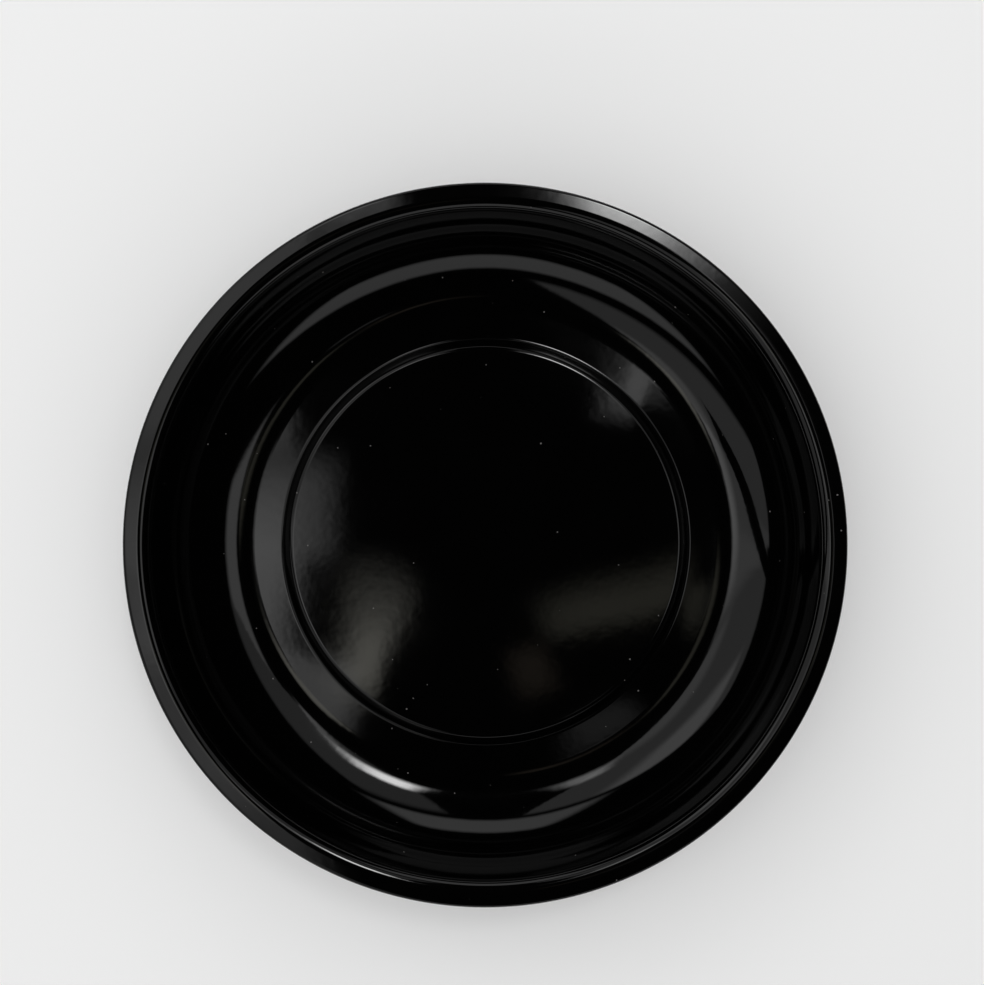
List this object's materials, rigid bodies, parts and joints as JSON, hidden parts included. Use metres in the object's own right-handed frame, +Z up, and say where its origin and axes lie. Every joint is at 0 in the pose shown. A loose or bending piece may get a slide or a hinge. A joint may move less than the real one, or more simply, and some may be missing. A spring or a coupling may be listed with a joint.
{
  "type": "magnetic pin bowl",
  "caption": "Shallow round steel dish with a folded rim and a raised disc in its floor, on a low round base that holds a ring magnet; holds loose pins and needles.",
  "frame": {"origin": "on the bowl's axis, on the surface that its rubber foot stands on", "axes": "+Z up along the bowl's axis, out of its mouth; the bowl is round, so +X and +Y are any two directions at right angles"},
  "size_m": [0.149, 0.149, 0.0292],
  "materials": {
    "black_enamel": "gloss black enamel on pressed steel",
    "base_plastic": "fine satin moulded texture",
    "ferrite": "dull dark grey sintered ferrite",
    "zinc_steel": "bright zinc plate",
    "foam_tape": "white closed-cell foam",
    "foot_rubber": "dull dark rubber"
  },
  "bodies": {
    "root": {"bowl": "black_enamel", "base_cup": "base_plastic", "ring_magnet": "ferrite", "steel_washer": "zinc_steel", "tape_ring": "foam_tape", "rubber_foot": "foot_rubber"}
  },
  "joints": []
}
